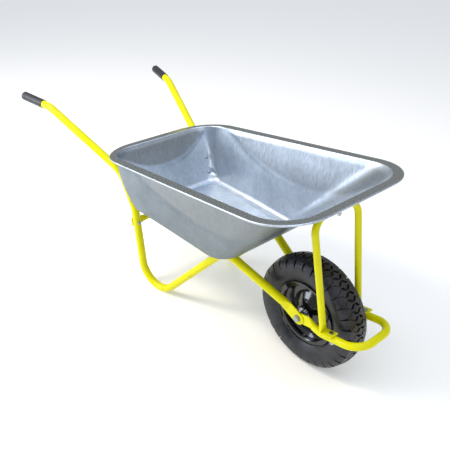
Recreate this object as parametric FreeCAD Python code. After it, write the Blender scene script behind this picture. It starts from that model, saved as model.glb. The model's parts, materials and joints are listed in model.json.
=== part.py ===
import FreeCAD, Part
import math
import os

# Wheelbarrow, millimetres. X runs forward to the wheel, Y to the left, Z up.
# Lengths along X below are measured from the axle; the whole part is then moved
# so that the origin lies on the ground, under the middle of its overall length.

# wheel
tyre_radius = 200.0
tyre_half_width = 50.0
tyre_wall = 8.0
tread_half_width = 38.0
tread_shoulder_drop = 9.5
bead_radius = 102.1
bead_half_width = 32.3
bead_thickness = 7.5
bead_chamfer = 2.5
lip_radius = 116.5
rim_sheet = 2.0
rim_seat_clearance = 0.1
web_outer_radius = 89.0
web_inner_radius = 72.0
hub_radius = 27.0
hub_half_length = 38.0
hub_shoulder = 2.5
bearing_setback = 2.0
bearing_outer_radius = 23.5
bearing_bore_radius = 10.0
bearing_width = 14.0
bearing_race_wall = 3.4
bearing_balls = 8
ball_radius = 3.6
shield_thickness = 1.0
inner_tube_wall = 2.5
inner_tube_gap = 0.5
valve_angle = 310.0
valve_length = 36.0
valve_radius = 4.0
valve_tip_radius = 2.6
valve_tip_share = 0.6
valve_tip_recess = 2.0
valve_foot_radius = 6.0
valve_foot_depth = 4.5

# axle
axle_bolt_radius = 6.0
axle_sleeve_wall = 3.8
collar_radius = 13.0
spacer_radius = 12.9
fork_inner_half = 60.0

# tubes
side_tube_radius = 15.0
side_tube_wall = 2.0
loop_tube_radius = 12.5
loop_tube_wall = 2.0
support_tube_radius = 11.0
support_tube_wall = 2.0

# tray, outer faces of the sheet
tray_sheet = 1.0
tray_floor_z = 326.0
tray_floor_rear = -748.0
tray_floor_front = -250.0
tray_floor_half_rear = 206.0
tray_floor_half_front = 188.0
tray_floor_corner_rear = 44.0
tray_floor_corner_front = 72.0
tray_floor_fillet = 36.0
wall_break_z = 440.0
break_corner_rear = 28.0
break_corner_front = 86.0
rim_rear = -870.0
rim_front = 129.0
rim_half_rear = 276.5
rim_half_front = 306.0
rim_corner_rear = 157.0
rim_corner_front = 149.0
mouth_corner_rear = 100.0
mouth_corner_front = 115.0
rim_z_rear = 536.0
rim_z_front = 671.5
flange_width = 34.0
bead_roll_radius = 3.0
panel_inset = 22.0
panel_height = 2.0
panel_corner = 45.0
panel_slope = 4.0

# side tubes
grip_tip = (-1329.0, 324.0, 648.0)
handle_bend = (-1174.0, 289.0, 634.5)
handle_bend_radius = 120.0
shoulder_z = 457.0
shoulder_half = 198.0
shoulder_radius = 110.0
knee_z = 318.0
knee_half = 185.0
knee_radius = 100.0
foot_x = -686.0
foot_half = 195.5
foot_radius = 95.0
crown_x = -307.0
crown_half = 115.0
crown_radius = 60.0
fork_tab_back = 44.0
fork_tab_front = 1.0
fork_tab_half = 23.0
fork_neck = 28.0

# grips
grip_radius = 17.0
grip_length = 122.0
grip_end_round = 7.0
grip_end_wall = 4.0

# front loop
loop_front = 254.0
loop_half = 85.0
loop_corner_radius = 58.0
loop_slope = 11.3
loop_tab_back = 4.0
loop_tab_front = 46.0
loop_tab_half = 19.0
loop_neck = 30.0
loop_flare_x = 112.0
loop_flare_radius = 60.0

# nose support
support_foot_x = 122.0
support_foot_half = 86.5
support_lean = 11.5
support_top_half = 100.0
support_bend_radius = 45.0
support_pad_length = 46.0
support_pad_half = 16.0
support_neck = 30.0
support_bolt_ahead = 30.0

# rear crossbar
crossbar_z = 260.0
crossbar_radius = 11.0
crossbar_wall = 2.0
crossbar_pad_half = 17.0
crossbar_overhang = 14.0
crossbar_neck = 30.0
crossbar_pad_inboard = 20.0

# fasteners
m8_radius = 4.0
m8_hole_radius = 4.3
m8_head_radius = 8.0
m8_head_height = 4.6
m8_nut_flats = 13.0
m8_nut_height = 6.5
m8_washer_radius = 8.5
m8_washer_thickness = 1.6
m12_hole_radius = 6.2
m12_flats = 19.0
m12_head_height = 7.5
m12_nut_height = 10.0
m12_washer_radius = 12.0
m12_washer_thickness = 2.5
thread_beyond_nut = 3.0
tray_bolt_heights = (417.0, 360.0)
bolt_land_radius = 13.0
bolt_land_reach = 20.0

# clearances
seat_gap = 0.05
running_gap = 0.3

axle_z = tyre_radius
side_tab = 2.0 * side_tube_wall
loop_tab = 2.0 * loop_tube_wall
support_tab = 2.0 * support_tube_wall
crossbar_tab = 2.0 * crossbar_wall
rim_slope = (rim_z_front - rim_z_rear) / (rim_front - rim_rear)


def vec(x, y, z):
    return FreeCAD.Vector(x, y, z)


def unit(v):
    return v * (1.0 / v.Length)


def mirrored(shape):
    """The same solid on the other side of the middle plane."""
    return shape.mirror(vec(0, 0, 0), vec(0, 1, 0))


def joined(solids):
    result = solids[0].multiFuse(solids[1:])
    return result.removeSplitter()


def cylinder(radius, start, end):
    return Part.makeCylinder(radius, (end - start).Length, start, end - start)


def ring(outer, inner, start, end):
    return cylinder(outer, start, end).cut(cylinder(inner, start, end))


# bent tubes ------------------------------------------------------------------

def corner_arc(before, corner, after, radius):
    """Tangent points, centre, axis and angle of the arc that rounds a corner."""
    inward = unit(before - corner)
    outward = unit(after - corner)
    half = inward.getAngle(outward) / 2.0
    reach = radius / math.tan(half)
    start = corner + inward * reach
    end = corner + outward * reach
    centre = corner + unit(inward + outward) * (radius / math.sin(half))
    axis = unit((inward * -1.0).cross(outward))
    return start, end, centre, axis, 180.0 - math.degrees(2.0 * half)


def disc(centre, direction, outer, inner):
    rim = Part.Wire(Part.makeCircle(outer, centre, direction))
    if inner <= 0:
        return Part.Face(rim)
    bore = Part.Wire(Part.makeCircle(inner, centre, direction))
    return Part.makeFace([rim, bore], "Part::FaceMakerBullseye")


def bent_tube(points, radii, outer, wall):
    """A round tube through points, rounded at each inner point. wall 0 is solid."""
    inner = outer - wall if wall else 0
    pieces = []
    start = points[0]
    for index, radius in enumerate(radii):
        corner = points[index + 1]
        arc_start, arc_end, centre, axis, angle = corner_arc(
            start, corner, points[index + 2], radius)
        run = arc_start - start
        pieces.append(disc(start, run, outer, inner).extrude(run))
        section = disc(arc_start, run, outer, inner)
        pieces.append(section.revolve(centre, axis, angle))
        start = arc_end
    run = points[-1] - start
    pieces.append(disc(start, run, outer, inner).extrude(run))
    return joined(pieces)


def round_wire(centre, along, across, radius):
    """A circle as four arcs, cut at 45 degrees to the across direction."""
    side = unit(along.cross(across))
    across = unit(side.cross(along))
    angles = [math.radians(45.0 + 45.0 * step) for step in range(9)]
    rim = [centre + across * (radius * math.cos(a)) + side * (radius * math.sin(a))
           for a in angles]
    return Part.Wire([Part.Arc(rim[i], rim[i + 1], rim[i + 2]).toShape()
                      for i in range(0, 8, 2)])


def flat_wire(centre, along, across, half_width, half_thick):
    side = unit(along.cross(across))
    across = unit(side.cross(along))
    corners = [centre + across * (half_width * a) + side * (half_thick * b)
               for a, b in ((1, 1), (-1, 1), (-1, -1), (1, -1), (1, 1))]
    return Part.Wire([Part.LineSegment(corners[i], corners[i + 1]).toShape()
                      for i in range(4)])


def pressed_neck(round_centre, round_dir, flat_centre, flat_dir, across, radius,
                 half_width, half_thick):
    """The stretch where a tube is pressed from round to flat."""
    wires = [round_wire(round_centre, round_dir, across, radius),
             flat_wire(flat_centre, flat_dir, across, half_width, half_thick)]
    return Part.makeLoft(wires, True, True)


def plate(start, end, across, half_width, thickness):
    """A flat bar from start to end, centred on that line."""
    along = unit(end - start)
    face = Part.Face(flat_wire(start, along, across, half_width, thickness / 2.0))
    return face.extrude(end - start)


# fasteners -------------------------------------------------------------------

def hexagon(centre, direction, flats, height):
    direction = unit(direction)
    side = direction.cross(vec(0, 1, 0))
    if side.Length < 0.1:
        side = direction.cross(vec(1, 0, 0))
    side = unit(side)
    other = direction.cross(side)
    radius = flats / math.sqrt(3.0)
    corners = [centre + side * (radius * math.cos(math.radians(60.0 * i)))
               + other * (radius * math.sin(math.radians(60.0 * i))) for i in range(7)]
    return Part.Face(Part.makePolygon(corners)).extrude(direction * height)


def dome_bolt(seat, direction, length):
    """A button-head bolt: seat is under the head, direction points along the shank."""
    direction = unit(direction)
    sphere_radius = (m8_head_radius ** 2 + m8_head_height ** 2) / (2.0 * m8_head_height)
    centre = seat + direction * (sphere_radius - m8_head_height)
    cap = Part.makeSphere(sphere_radius, centre)
    block = cylinder(m8_head_radius, seat, seat - direction * (m8_head_height + 1.0))
    return joined([cap.common(block), cylinder(m8_radius, seat, seat + direction * length)])


def hex_bolt(seat, direction, length, radius, flats, head_height):
    direction = unit(direction)
    head = hexagon(seat, direction * -1.0, flats, head_height)
    return joined([head, cylinder(radius, seat, seat + direction * length)])


def nut(seat, direction, bore, flats, height):
    """seat is the face against the work, direction points away from the work."""
    direction = unit(direction)
    body = hexagon(seat, direction, flats, height)
    return body.cut(cylinder(bore, seat - direction, seat + direction * (height + 1.0)))


def washer(seat, direction, bore, radius, thickness):
    return ring(radius, bore, seat, seat + unit(direction) * thickness)


def drilled(shape, radius, centre, direction, reach):
    direction = unit(direction)
    return shape.cut(cylinder(radius, centre - direction * reach, centre + direction * reach))


# tray ------------------------------------------------------------------------

def rear_wall_lean():
    return math.atan2(tray_floor_rear - rim_rear - flange_width,
                      rim_height(rim_rear + flange_width) - tray_floor_z)


def front_wall_lean():
    return math.atan2(rim_front - flange_width - tray_floor_front,
                      rim_height(rim_front - flange_width) - tray_floor_z)


def rim_height(x):
    return rim_z_rear + (x - rim_rear) * rim_slope


def rear_wall_x(z):
    return tray_floor_rear - (z - tray_floor_z) * math.tan(rear_wall_lean())


def rear_wall_normal():
    lean = rear_wall_lean()
    return vec(-math.cos(lean), 0, -math.sin(lean))


def front_wall_x(z):
    return tray_floor_front + (z - tray_floor_z) * math.tan(front_wall_lean())


def front_wall_normal():
    lean = front_wall_lean()
    return vec(math.cos(lean), 0, -math.sin(lean))


def tray_corners(rear, front, half_rear, half_front, height):
    """Corner points, anticlockwise from the rear right, at height(x)."""
    return [vec(rear, -half_rear, height(rear)), vec(front, -half_front, height(front)),
            vec(front, half_front, height(front)), vec(rear, half_rear, height(rear))]


def rounded_loop(corners, radii):
    """A closed wire of straight edges and tangent arcs."""
    arcs = []
    count = len(corners)
    for i in range(count):
        start, end, centre, axis, angle = corner_arc(
            corners[i - 1], corners[i], corners[(i + 1) % count], radii[i])
        middle = centre + unit(corners[i] - centre) * radii[i]
        arcs.append((start, middle, end))
    edges = []
    for i in range(count):
        edges.append(Part.Arc(*arcs[i]).toShape())
        edges.append(Part.LineSegment(arcs[i][2], arcs[(i + 1) % count][0]).toShape())
    return Part.Wire(edges)


def sheet_inset(lean, above_floor):
    """How far in, level, a wall's inner face lies. At the floor the sheet lifts it."""
    level = tray_sheet / math.cos(lean)
    return level if above_floor else level - tray_sheet * math.tan(lean)


def floor_wire(z, side=0.0, rear=0.0, front=0.0):
    corners = tray_corners(tray_floor_rear + rear, tray_floor_front - front,
                           tray_floor_half_rear - side, tray_floor_half_front - side,
                           lambda x: z)
    rear_radius = tray_floor_corner_rear - side
    front_radius = tray_floor_corner_front - side
    return rounded_loop(corners, [rear_radius, front_radius, front_radius, rear_radius])


def between(low, high, share):
    return low + (high - low) * share


def break_wire(side=0.0, rear=0.0, front=0.0):
    """The walls' outline at the height up to which the rear corners stay tight."""
    mouth_rear_z = rim_height(rim_rear + flange_width)
    mouth_front_z = rim_height(rim_front - flange_width)
    rise = wall_break_z - tray_floor_z
    half_rear = between(tray_floor_half_rear, rim_half_rear - flange_width,
                        rise / (mouth_rear_z - tray_floor_z))
    half_front = between(tray_floor_half_front, rim_half_front - flange_width,
                         rise / (mouth_front_z - tray_floor_z))
    corners = tray_corners(rear_wall_x(wall_break_z) + rear, front_wall_x(wall_break_z) - front,
                           half_rear - side, half_front - side, lambda x: wall_break_z)
    rear_radius = break_corner_rear - side
    front_radius = break_corner_front - side
    return rounded_loop(corners, [rear_radius, front_radius, front_radius, rear_radius])


def rim_wire(inset, drop):
    """The flange's outline, taken in by inset and lowered by drop."""
    corners = tray_corners(rim_rear + inset, rim_front - inset, rim_half_rear - inset,
                           rim_half_front - inset, lambda x: rim_height(x) - drop)
    rear_radius = rim_corner_rear - inset
    front_radius = rim_corner_front - inset
    return rounded_loop(corners, [rear_radius, front_radius, front_radius, rear_radius])


def mouth_wire(drop, side=0.0, rear=0.0, front=0.0):
    """The flange's inner edge, where the walls begin."""
    corners = tray_corners(rim_rear + flange_width + rear, rim_front - flange_width - front,
                           rim_half_rear - flange_width - side,
                           rim_half_front - flange_width - side,
                           lambda x: rim_height(x) - drop)
    rear_radius = mouth_corner_rear - side
    front_radius = mouth_corner_front - side
    return rounded_loop(corners, [rear_radius, front_radius, front_radius, rear_radius])


def bowl(outlines, floor_z, fillet):
    """The tray's outer or inner form, filled solid, up to the flange."""
    solid = Part.makeLoft(outlines, True, True)
    low = [edge for edge in solid.Edges
           if abs(edge.BoundBox.ZMax - floor_z) < 0.01]
    return solid.makeFillet(fillet, low)


def outer_bowl():
    return bowl([floor_wire(tray_floor_z), break_wire(), mouth_wire(0.0)],
                tray_floor_z, tray_floor_fillet)


def inner_bowl():
    rear, front = rear_wall_lean(), front_wall_lean()
    z = tray_floor_z + tray_sheet
    floor = floor_wire(z, tray_sheet, sheet_inset(rear, False), sheet_inset(front, False))
    walls = (tray_sheet, sheet_inset(rear, True), sheet_inset(front, True))
    outlines = [floor, break_wire(*walls), mouth_wire(0.0, *walls)]
    return bowl(outlines, z, tray_floor_fillet - tray_sheet)


def mouth_plug():
    """The space between the flange's inner edges, just above and below it."""
    rear, front = rear_wall_lean(), front_wall_lean()
    insets = (tray_sheet, sheet_inset(rear, True), sheet_inset(front, True))
    reach = 2.0 * tray_sheet
    return Part.makeLoft([mouth_wire(reach, *insets), mouth_wire(-reach, *insets)],
                         True, True)


def panel(z):
    """The pressed field in the middle of the floor."""
    def panel_wire(inset, height):
        corners = tray_corners(tray_floor_rear + inset, tray_floor_front - inset,
                               tray_floor_half_rear - inset, tray_floor_half_front - inset,
                               lambda x: height)
        return rounded_loop(corners, [panel_corner] * 4)
    return Part.makeLoft([panel_wire(panel_inset, z),
                          panel_wire(panel_inset + panel_slope, z + panel_height)],
                         True, True)


def rolled_edge():
    """The round bead along the outer edge of the flange."""
    inset = bead_roll_radius
    path = rim_wire(inset, bead_roll_radius)
    pieces = []
    for edge in path.Edges:
        start = edge.valueAt(edge.FirstParameter)
        heading = edge.tangentAt(edge.FirstParameter)
        section = disc(start, heading, bead_roll_radius, 0)
        if edge.Curve.TypeId == "Part::GeomLine":
            pieces.append(section.extrude(edge.valueAt(edge.LastParameter) - start))
        else:
            circle = edge.Curve
            axis = circle.Axis
            if axis.cross(start - circle.Center).dot(heading) < 0:
                axis = axis * -1.0
            turn = math.degrees(edge.LastParameter - edge.FirstParameter)
            pieces.append(section.revolve(circle.Center, axis, turn))
    return pieces


def flange():
    up = vec(-rim_slope, 0, 1)
    outer = Part.Face(rim_wire(bead_roll_radius, tray_sheet))
    slab = outer.extrude(unit(up) * tray_sheet)
    return slab


def bolt_lands(radius, setback):
    """Round pressings in the rear corners, one behind each bolt head."""
    out = rear_wall_normal()
    return [cylinder(radius, seat + out * setback, seat - out * bolt_land_reach)
            for seat in tray_bolt_seats()]


def tray():
    lands = bolt_lands(bolt_land_radius, tray_sheet)
    load_space = inner_bowl().multiFuse(bolt_lands(bolt_land_radius - tray_sheet, 0.0))
    body = outer_bowl().multiFuse(lands + [flange()] + rolled_edge())
    body = body.cut(load_space).cut(mouth_plug())
    body = body.fuse(panel(tray_floor_z + tray_sheet))
    body = body.cut(panel(tray_floor_z))
    for seat in tray_bolt_seats():
        body = drilled(body, m8_hole_radius, seat, rear_wall_normal(), 10.0)
    body = drilled(body, m8_hole_radius, nose_wall_point(), front_wall_normal(), 10.0)
    return body.removeSplitter()


# side tubes ------------------------------------------------------------------

def tube_x_on_rear_wall(z):
    return rear_wall_x(z) - side_tube_radius / math.cos(rear_wall_lean())


def settle_corner(before, corner, after, radius, limit, sign):
    """Moves a corner in Z until its rounded tube just reaches the height limit."""
    _, _, centre, axis, _ = corner_arc(before, corner, after, radius)
    swing = radius * math.sqrt(1.0 - axis.z ** 2)
    reach = centre.z + sign * (swing + side_tube_radius)
    return corner + vec(0, 0, limit - reach)


def fork_direction(crown):
    return unit(vec(-crown.x, 0, axle_z - crown.z))


def side_points():
    """The left tube's corner points, from the hand end to the fork's neck."""
    shoulder = vec(tube_x_on_rear_wall(shoulder_z), shoulder_half, shoulder_z)
    knee = vec(tube_x_on_rear_wall(knee_z), knee_half, knee_z)
    foot = vec(foot_x, foot_half, -foot_radius)
    crown = vec(crown_x, crown_half, tray_floor_z)
    fork_y = fork_inner_half + loop_tab + side_tab / 2.0
    for _ in range(40):
        heading = fork_direction(crown)
        neck = vec(0, fork_y, axle_z) - heading * (fork_tab_back + fork_neck)
        foot = settle_corner(knee, foot, crown, foot_radius, 0.0, -1.0)
        crown = settle_corner(foot, crown, neck, crown_radius,
                              tray_floor_z + panel_height, 1.0)
    return [vec(*grip_tip), vec(*handle_bend), shoulder, knee, foot, crown, neck]


def side_tube_left():
    points = side_points()
    radii = [handle_bend_radius, shoulder_radius, knee_radius, foot_radius, crown_radius]
    hand = unit(points[0] - points[1])
    points[0] = points[0] - hand * grip_end_wall
    tube = bent_tube(points, radii, side_tube_radius, side_tube_wall)
    heading = fork_direction(points[5])
    neck = points[6]
    tab_start = neck + heading * fork_neck
    axle_point = tab_start + heading * fork_tab_back
    tab_end = axle_point + heading * fork_tab_front
    across = vec(heading.z, 0, -heading.x)
    arrival = unit(neck - points[5])
    press = pressed_neck(neck, arrival, tab_start, heading, across, side_tube_radius,
                         fork_tab_half, side_tab / 2.0)
    tab = plate(tab_start, tab_end, across, fork_tab_half, side_tab)
    half = vec(0, side_tab / 2.0, 0)
    nose = cylinder(fork_tab_half, tab_end - half, tab_end + half)
    tube = joined([tube, press, tab, nose])
    tube = drilled(tube, m12_hole_radius, axle_point, vec(0, 1, 0), 10.0)
    for seat in tray_bolt_seats():
        if seat.y > 0:
            tube = drilled(tube, m8_hole_radius, seat, rear_wall_normal(), 45.0)
    seat = crossbar_bolt_point(1)
    return drilled(tube, m8_hole_radius, seat, leg_rearward(), 30.0)


def grip(side):
    tip = vec(grip_tip[0], side * grip_tip[1], grip_tip[2])
    bend = vec(handle_bend[0], side * handle_bend[1], handle_bend[2])
    inward = unit(bend - tip)
    ring_centre = tip + inward * grip_end_round
    flat = cylinder(grip_radius - grip_end_round, tip, ring_centre)
    bend_round = Part.makeTorus(grip_radius - grip_end_round, grip_end_round,
                                ring_centre, inward)
    sleeve = cylinder(grip_radius, ring_centre, tip + inward * grip_length)
    body = joined([flat, bend_round, sleeve])
    bore = cylinder(side_tube_radius + seat_gap, tip + inward * (grip_end_wall - seat_gap),
                    tip + inward * (grip_length + 1.0))
    return body.cut(bore)


# rear wall bolts -------------------------------------------------------------

def tube_y_at(z):
    share = (z - knee_z) / (shoulder_z - knee_z)
    return knee_half + (shoulder_half - knee_half) * share


def tray_bolt_seats():
    """Points on the rear wall's inner face where the bolt heads sit."""
    inner = rear_wall_normal() * -tray_sheet
    return [vec(rear_wall_x(z), side * tube_y_at(z), z) + inner
            for side in (1, -1) for z in tray_bolt_heights]


def tray_fasteners():
    bolts, washers, nuts = [], [], []
    out = rear_wall_normal()
    for seat in tray_bolt_seats():
        back = seat + out * (tray_sheet + 2.0 * side_tube_radius)
        nut_seat = back + out * m8_washer_thickness
        length = (nut_seat - seat).Length + m8_nut_height + thread_beyond_nut
        bolts.append(dome_bolt(seat, out, length))
        washers.append(washer(back, out, m8_hole_radius, m8_washer_radius,
                              m8_washer_thickness))
        nuts.append(nut(nut_seat, out, m8_radius + seat_gap, m8_nut_flats, m8_nut_height))
    return bolts, washers, nuts


# rear crossbar ---------------------------------------------------------------

def leg_heading():
    points = side_points()
    heading = unit(points[4] - points[3])
    return unit(vec(heading.x, 0, heading.z))


def leg_rearward():
    heading = leg_heading()
    return vec(heading.z, 0, -heading.x)


def leg_point_at(z):
    points = side_points()
    knee, foot = points[3], points[4]
    share = (z - knee.z) / (foot.z - knee.z)
    return knee + (foot - knee) * share


def crossbar_bolt_point(side):
    point = leg_point_at(crossbar_z)
    return vec(point.x, side * point.y, point.z)


def rear_crossbar():
    rear = leg_rearward()
    centre_offset = rear * (side_tube_radius + crossbar_tab / 2.0)
    bolt = crossbar_bolt_point(1)
    middle = vec(bolt.x, 0, bolt.z) + centre_offset
    up = leg_heading()
    neck_y = bolt.y - crossbar_pad_inboard
    tube_y = neck_y - crossbar_neck
    pad_inner = middle + vec(0, neck_y, 0)
    pad_outer = middle + vec(0, bolt.y + crossbar_overhang, 0)
    pad = plate(pad_inner, pad_outer, up, crossbar_pad_half, crossbar_tab)
    tube_end = middle + vec(0, tube_y, 0)
    press = pressed_neck(tube_end, vec(0, 1, 0), pad_inner, vec(0, 1, 0), up,
                         crossbar_radius, crossbar_pad_half, crossbar_tab / 2.0)
    half_tube = disc(middle, vec(0, 1, 0), crossbar_radius,
                     crossbar_radius - crossbar_wall).extrude(vec(0, tube_y, 0))
    half = joined([half_tube, press, pad])
    half = drilled(half, m8_hole_radius, bolt, rear, 40.0)
    return joined([half, mirrored(half)])


def crossbar_fasteners():
    bolts, nuts = [], []
    rear = leg_rearward()
    for side in (1, -1):
        point = crossbar_bolt_point(side)
        seat = point - rear * side_tube_radius
        nut_seat = point + rear * (side_tube_radius + crossbar_tab)
        length = (nut_seat - seat).Length + m8_nut_height + thread_beyond_nut
        bolts.append(hex_bolt(seat, rear, length, m8_radius, m8_nut_flats, m8_head_height))
        nuts.append(nut(nut_seat, rear, m8_radius + seat_gap, m8_nut_flats, m8_nut_height))
    return bolts, nuts


# front loop ------------------------------------------------------------------

def loop_heading():
    angle = math.radians(loop_slope)
    return vec(math.cos(angle), 0, math.sin(angle))


def loop_up():
    angle = math.radians(loop_slope)
    return vec(-math.sin(angle), 0, math.cos(angle))


def on_loop(x, y):
    """A point in the loop's plane, which holds the axle line."""
    return vec(0, y, axle_z) + loop_heading() * (x / loop_heading().x)


def front_loop():
    tab_y = fork_inner_half + loop_tab / 2.0
    heading = loop_heading()
    tab_start = on_loop(-loop_tab_back, tab_y)
    tab_end = on_loop(loop_tab_front, tab_y)
    neck_end = on_loop(loop_tab_front + loop_neck,
                       tab_y + (loop_half - tab_y) * 0.5)
    flare = on_loop(loop_flare_x, loop_half)
    corner = on_loop(loop_front, loop_half)
    middle = on_loop(loop_front, 0.0)
    tube = bent_tube([neck_end, flare, corner, middle],
                     [loop_flare_radius, loop_corner_radius],
                     loop_tube_radius, loop_tube_wall)
    press = pressed_neck(neck_end, flare - neck_end, tab_end, heading * -1.0, loop_up(),
                         loop_tube_radius, loop_tab_half, loop_tab / 2.0)
    tab = plate(tab_start, tab_end, loop_up(), loop_tab_half, loop_tab)
    half_thick = vec(0, loop_tab / 2.0, 0)
    nose = cylinder(loop_tab_half, tab_start - half_thick, tab_start + half_thick)
    half = joined([tube, press, tab, nose])
    half = drilled(half, m12_hole_radius, vec(0, tab_y, axle_z), vec(0, 1, 0), 10.0)
    half = drilled(half, m8_hole_radius, foot_bolt_seat(1), loop_up(), 60.0)
    return joined([half, mirrored(half)])


# nose support ----------------------------------------------------------------

def foot_bolt_seat(side):
    """Top of the nose support's pad, on the bolt's axis."""
    lift = loop_up() * (loop_tube_radius + support_tab)
    return on_loop(support_foot_x + support_bolt_ahead, side * loop_half) + lift


def support_heel(y):
    """Where a leg's axis meets the middle of its pad."""
    return on_loop(support_foot_x, y) + loop_up() * (loop_tube_radius + support_tab / 2.0)


def nose_bar_centre():
    """The top bar lies against the front wall, in line with the leaning legs."""
    normal = front_wall_normal()
    lean = math.tan(math.radians(support_lean))
    foot = support_heel(0.0)
    z = tray_floor_z
    for _ in range(60):
        x = foot.x - (z - foot.z) * lean
        touch_x = x - normal.x * support_tube_radius
        wall_z = tray_floor_z + (touch_x - tray_floor_front) / math.tan(front_wall_lean())
        z = 0.5 * z + 0.5 * (wall_z + normal.z * support_tube_radius)
    return vec(foot.x - (z - foot.z) * lean, 0, z)


def nose_wall_point():
    return nose_bar_centre() - front_wall_normal() * support_tube_radius


def nose_support():
    bar = nose_bar_centre()
    top = vec(bar.x, support_top_half, bar.z)
    heel = support_heel(support_foot_half)
    back_edge = heel - loop_heading() * (support_tab / 2.0)
    toe = back_edge + loop_heading() * support_pad_length
    pad = plate(back_edge, toe, vec(0, 1, 0), support_pad_half, support_tab)
    leg_dir = unit(top - heel)
    neck_end = heel + leg_dir * support_neck
    tube = bent_tube([neck_end, top, vec(bar.x, 0, bar.z)], [support_bend_radius],
                     support_tube_radius, support_tube_wall)
    press = pressed_neck(neck_end, leg_dir, heel, leg_dir, vec(0, 1, 0),
                         support_tube_radius, support_pad_half, support_tab / 2.0)
    half = joined([tube, press, pad])
    half = drilled(half, m8_hole_radius, foot_bolt_seat(1), loop_up(), 20.0)
    both = joined([half, mirrored(half)])
    return drilled(both, m8_hole_radius, bar, front_wall_normal(), 30.0)


def nose_fasteners():
    out = front_wall_normal()
    wall = nose_wall_point()
    inside = wall - out * tray_sheet
    far = wall + out * (2.0 * support_tube_radius)
    length = (far - inside).Length + m8_nut_height + thread_beyond_nut
    bolt = dome_bolt(inside, out, length)
    return bolt, nut(far, out, m8_radius + seat_gap, m8_nut_flats, m8_nut_height)


def foot_fasteners():
    bolts, nuts = [], []
    down = loop_up() * -1.0
    for side in (1, -1):
        seat = foot_bolt_seat(side)
        nut_seat = seat + down * (support_tab + 2.0 * loop_tube_radius)
        length = (nut_seat - seat).Length + m8_nut_height + thread_beyond_nut
        bolts.append(hex_bolt(seat, down, length, m8_radius, m8_nut_flats, m8_head_height))
        nuts.append(nut(nut_seat, down, m8_radius + seat_gap, m8_nut_flats, m8_nut_height))
    return bolts, nuts


# wheel -----------------------------------------------------------------------

def wheel_point(y, radius):
    return vec(0, y, axle_z + radius)


def outline(start, steps):
    """A closed wire in the wheel's section. A step of four numbers is an arc."""
    edges = []
    here = wheel_point(*start)
    for step in steps:
        there = wheel_point(*step[-2:])
        if len(step) == 4:
            edges.append(Part.Arc(here, wheel_point(*step[:2]), there).toShape())
        else:
            edges.append(Part.LineSegment(here, there).toShape())
        here = there
    return Part.Wire(edges)


def spun(wire):
    solid = Part.Face(wire).revolve(wheel_point(0, 0), vec(0, 1, 0), 360.0)
    return solid if solid.Volume > 0 else solid.reversed()


def thickened(points, thickness):
    """A closed section wire around a chain of points, with mitred corners."""
    def offset(sign):
        side = []
        for i, (y, r) in enumerate(points):
            normals = []
            for a, b in ((i - 1, i), (i, i + 1)):
                if a < 0 or b >= len(points):
                    continue
                dy = points[b][0] - points[a][0]
                dr = points[b][1] - points[a][1]
                length = math.hypot(dy, dr)
                normals.append((-dr / length, dy / length))
            ny = sum(n[0] for n in normals) / len(normals)
            nr = sum(n[1] for n in normals) / len(normals)
            scale = sign * thickness / 2.0 / (ny * ny + nr * nr)
            side.append((y + ny * scale, r + nr * scale))
        return side
    chain = offset(1) + offset(-1)[::-1]
    return outline(chain[0], chain[1:] + [chain[0]])


def tyre():
    shoulder = tyre_radius - tread_shoulder_drop
    mid_radius = 0.5 * (tyre_radius + lip_radius)
    side = tyre_half_width
    outer = [(-side + 1.2, shoulder - 12.0, -tread_half_width, shoulder),
             (0.0, tyre_radius, tread_half_width, shoulder),
             (side - 1.2, shoulder - 12.0, side, mid_radius),
             (side - 3.5, mid_radius - 20.0, bead_half_width + 4.0, lip_radius + 5.0),
             (bead_half_width, lip_radius - 2.5), (bead_half_width, bead_radius + bead_chamfer),
             (bead_half_width - bead_chamfer, bead_radius)]
    core = side - tyre_wall
    toe = bead_half_width - bead_thickness
    inner = [(toe, bead_radius), (toe + 1.0, lip_radius - 2.0),
             (core - 2.5, mid_radius - 18.0, core, mid_radius),
             (core - 2.0, shoulder - 14.0, core - 12.0, shoulder - 6.0),
             (0.0, tyre_radius - tyre_wall, -core + 12.0, shoulder - 6.0),
             (-core + 2.0, shoulder - 14.0, -core, mid_radius),
             (-core + 2.5, mid_radius - 18.0, -toe - 1.0, lip_radius - 2.0),
             (-toe, bead_radius), (-bead_half_width + bead_chamfer, bead_radius),
             (-bead_half_width, bead_radius + bead_chamfer),
             (-bead_half_width, lip_radius - 2.5), (-bead_half_width - 4.0, lip_radius + 5.0),
             (-side + 3.5, mid_radius - 20.0, -side, mid_radius)]
    return spun(outline((-side, mid_radius), outer + inner))


def inner_tube_section(gap):
    shoulder = tyre_radius - tread_shoulder_drop
    mid_radius = 0.5 * (tyre_radius + lip_radius)
    core = tyre_half_width - tyre_wall - gap
    toe = bead_half_width - bead_thickness - gap
    base = bead_radius + gap
    steps = [(-core + 2.5, mid_radius - 18.0, -core, mid_radius),
             (-core + 2.0, shoulder - 14.0, -core + 12.0, shoulder - 6.0 - gap),
             (0.0, tyre_radius - tyre_wall - gap, core - 12.0, shoulder - 6.0 - gap),
             (core - 2.0, shoulder - 14.0, core, mid_radius),
             (core - 2.5, mid_radius - 18.0, toe, lip_radius - 2.0 + gap),
             (toe - 4.0, base), (-toe + 4.0, base), (-toe, lip_radius - 2.0 + gap)]
    return outline((-toe, lip_radius - 2.0 + gap), steps)


def inner_tube():
    outer = spun(inner_tube_section(inner_tube_gap))
    inner = spun(inner_tube_section(inner_tube_gap + inner_tube_wall))
    return outer.cut(inner)


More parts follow.
